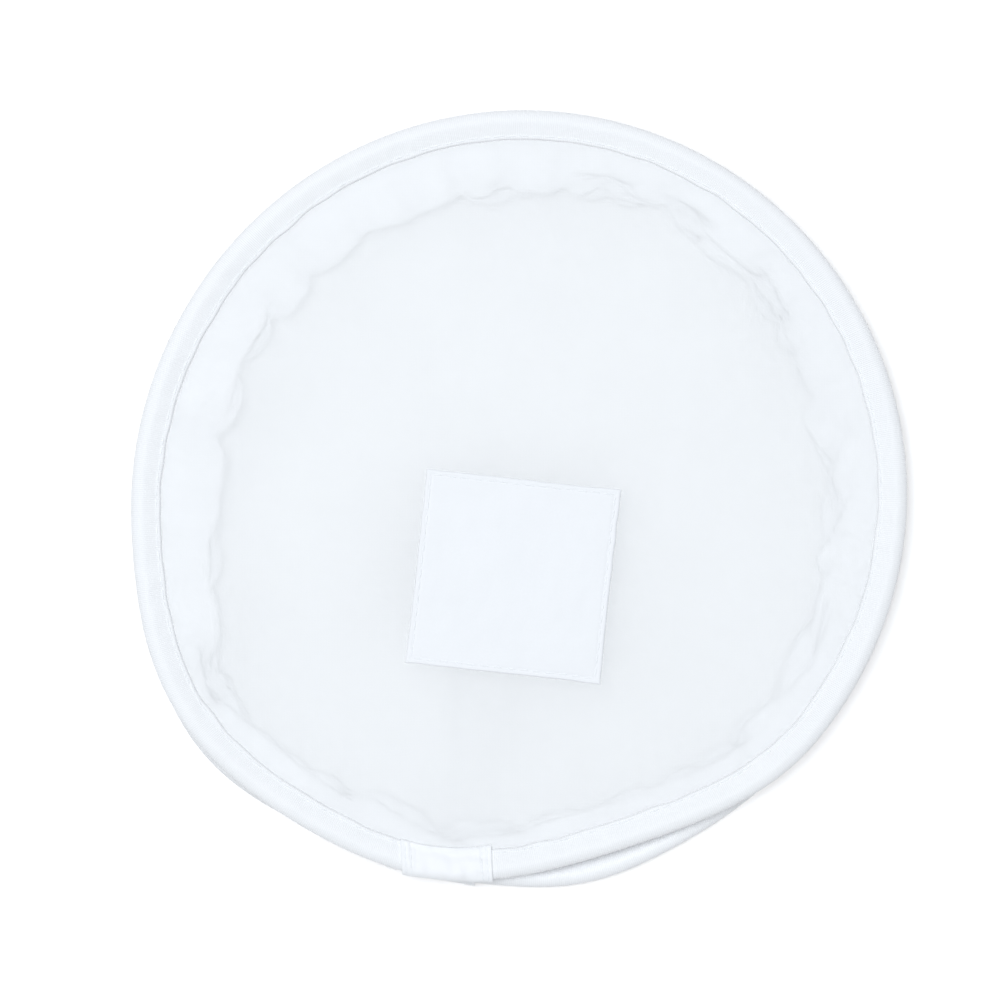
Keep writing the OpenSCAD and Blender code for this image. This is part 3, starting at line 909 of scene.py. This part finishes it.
def side_wall():
    """The wall's cloth, with two more rows at each hem that lie between the plies."""
    turn, cloth = settle_wall()
    shift = turn_shift()
    hems = []
    for w in (HEM_W, SEAM_W):
        a = front.at(turn, w, 0)
        b = rear.at(turn + shift, w, 0)
        a[:, 2], b[:, 2] = cloth[0, 0, 2], cloth[-1, 0, 2]
        hems.append((a, b))
    rows = np.concatenate([[hems[0][0], hems[1][0]], cloth, [hems[1][1], hems[0][1]]])
    n, m = rows.shape[:2]
    quads = grid_faces(n, m, False, True)
    v = np.linspace(0, WALL_CUT + 6 * MM, n)
    uv = grid_uv(v, np.concatenate([turn, [1.0]]) * front.length, n, m, False, True)
    piece = make_piece("gathered_wall", rows.reshape(-1, 3), [quads], uv, wall_finish)
    thicken(piece, WALL_T)
    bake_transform(piece)
    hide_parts("side_wall")
    wall_seam(rows)


def wall_seam(rows):
    """The seam that closes the wall into a loop: stitches along one column."""
    middle, tangent = stitches_along(rows[2:-2, 0], WALL_STITCH, 0.5 * MM)
    side = np.cross(front.across(0.0), [0, 0, 1.0])
    normal = unit(np.cross(side, tangent))
    piece = stitch_piece("wall_seam_stitches", middle, tangent, normal, 2.5 * MM, 0.3 * MM)
    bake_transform(piece)
    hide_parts("wall_seam_stitching")


# -------------------------------------------------------------------- assembly
for hoop, seed in ((front, 11), (rear, 21)):
    binding(hoop, seed)
    join_sleeve(hoop, seed + 2)
    rim_seam(hoop, 1, f"{hoop.name}_rim_stitching", seed + 5)
    rim_seam(hoop, -1, f"{hoop.name}_rim_bobbin_thread", seed + 6)
    sleeve_seams(hoop, seed + 2)
    for part, finish in (("hoop_strip", strip_finish), ("ferrule", ferrule_finish)):
        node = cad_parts[f"{hoop.name}_{part}"]
        node.data.materials.clear()
        node.data.materials.append(finish)
disc_sheet("sheer_front", front, front_height, sheer_finish, "front_sheet")
disc_sheet("sheer_rear", rear, rear_height, rear_finish, "rear_sheet")
patch()
patch_seam(1, "patch_stitching", 55)
patch_seam(-1, "patch_bobbin_thread", 56)
side_wall()


# ------------------------------------------------------- floor, light, camera
DAYLIGHT = (0.925, 0.96, 1.0)


def floor():
    """A wide white floor just under the panel."""
    bpy.ops.mesh.primitive_plane_add(size=8, location=(0, 0, -0.3 * MM))
    plane = bpy.context.object
    plane.name = "floor"
    plane.data.materials.append(floor_finish())


def soft_light(name, place, size, power):
    """A square soft light that faces the panel."""
    lamp = bpy.data.lights.new(name, "AREA")
    lamp.shape, lamp.size, lamp.energy = "SQUARE", size, power
    lamp.color = DAYLIGHT
    light = bpy.data.objects.new(name, lamp)
    light.location = place
    aim = -np.array(place) / np.linalg.norm(place)
    light.rotation_euler = (math.acos(-aim[2]), 0, math.atan2(aim[1], aim[0]) - math.pi / 2)
    bpy.context.scene.collection.objects.link(light)


def camera():
    """Straight above, through a long lens, with the panel a little to the right. It
    stands at height over the panel and sees this width of it."""
    height, width = 1.6, 0.32234
    lens = bpy.data.cameras.new("camera")
    lens.sensor_width = 36
    lens.lens = 36 * height / width
    eye = bpy.data.objects.new("camera", lens)
    eye.location = (-6.1 * MM, -0.2 * MM, height + front.z)
    bpy.context.scene.collection.objects.link(eye)
    bpy.context.scene.camera = eye


floor()
soft_light("window_light", (-0.35, 0.2, 1.75), 1.0, 22)
soft_light("fill_light", (0.35, -0.1, 1.75), 1.2, 6.4)
world = bpy.data.worlds.new("studio")
world.use_nodes = True
sky = world.node_tree.nodes["Background"]
sky.inputs["Color"].default_value = (*DAYLIGHT, 1)
sky.inputs["Strength"].default_value = 0.293
bpy.context.scene.world = world
bpy.context.scene.view_settings.view_transform = "Standard"
bpy.context.scene.cycles.max_bounces = 16
bpy.context.scene.cycles.diffuse_bounces = 12
bpy.context.scene.cycles.transparent_max_bounces = 24
camera()
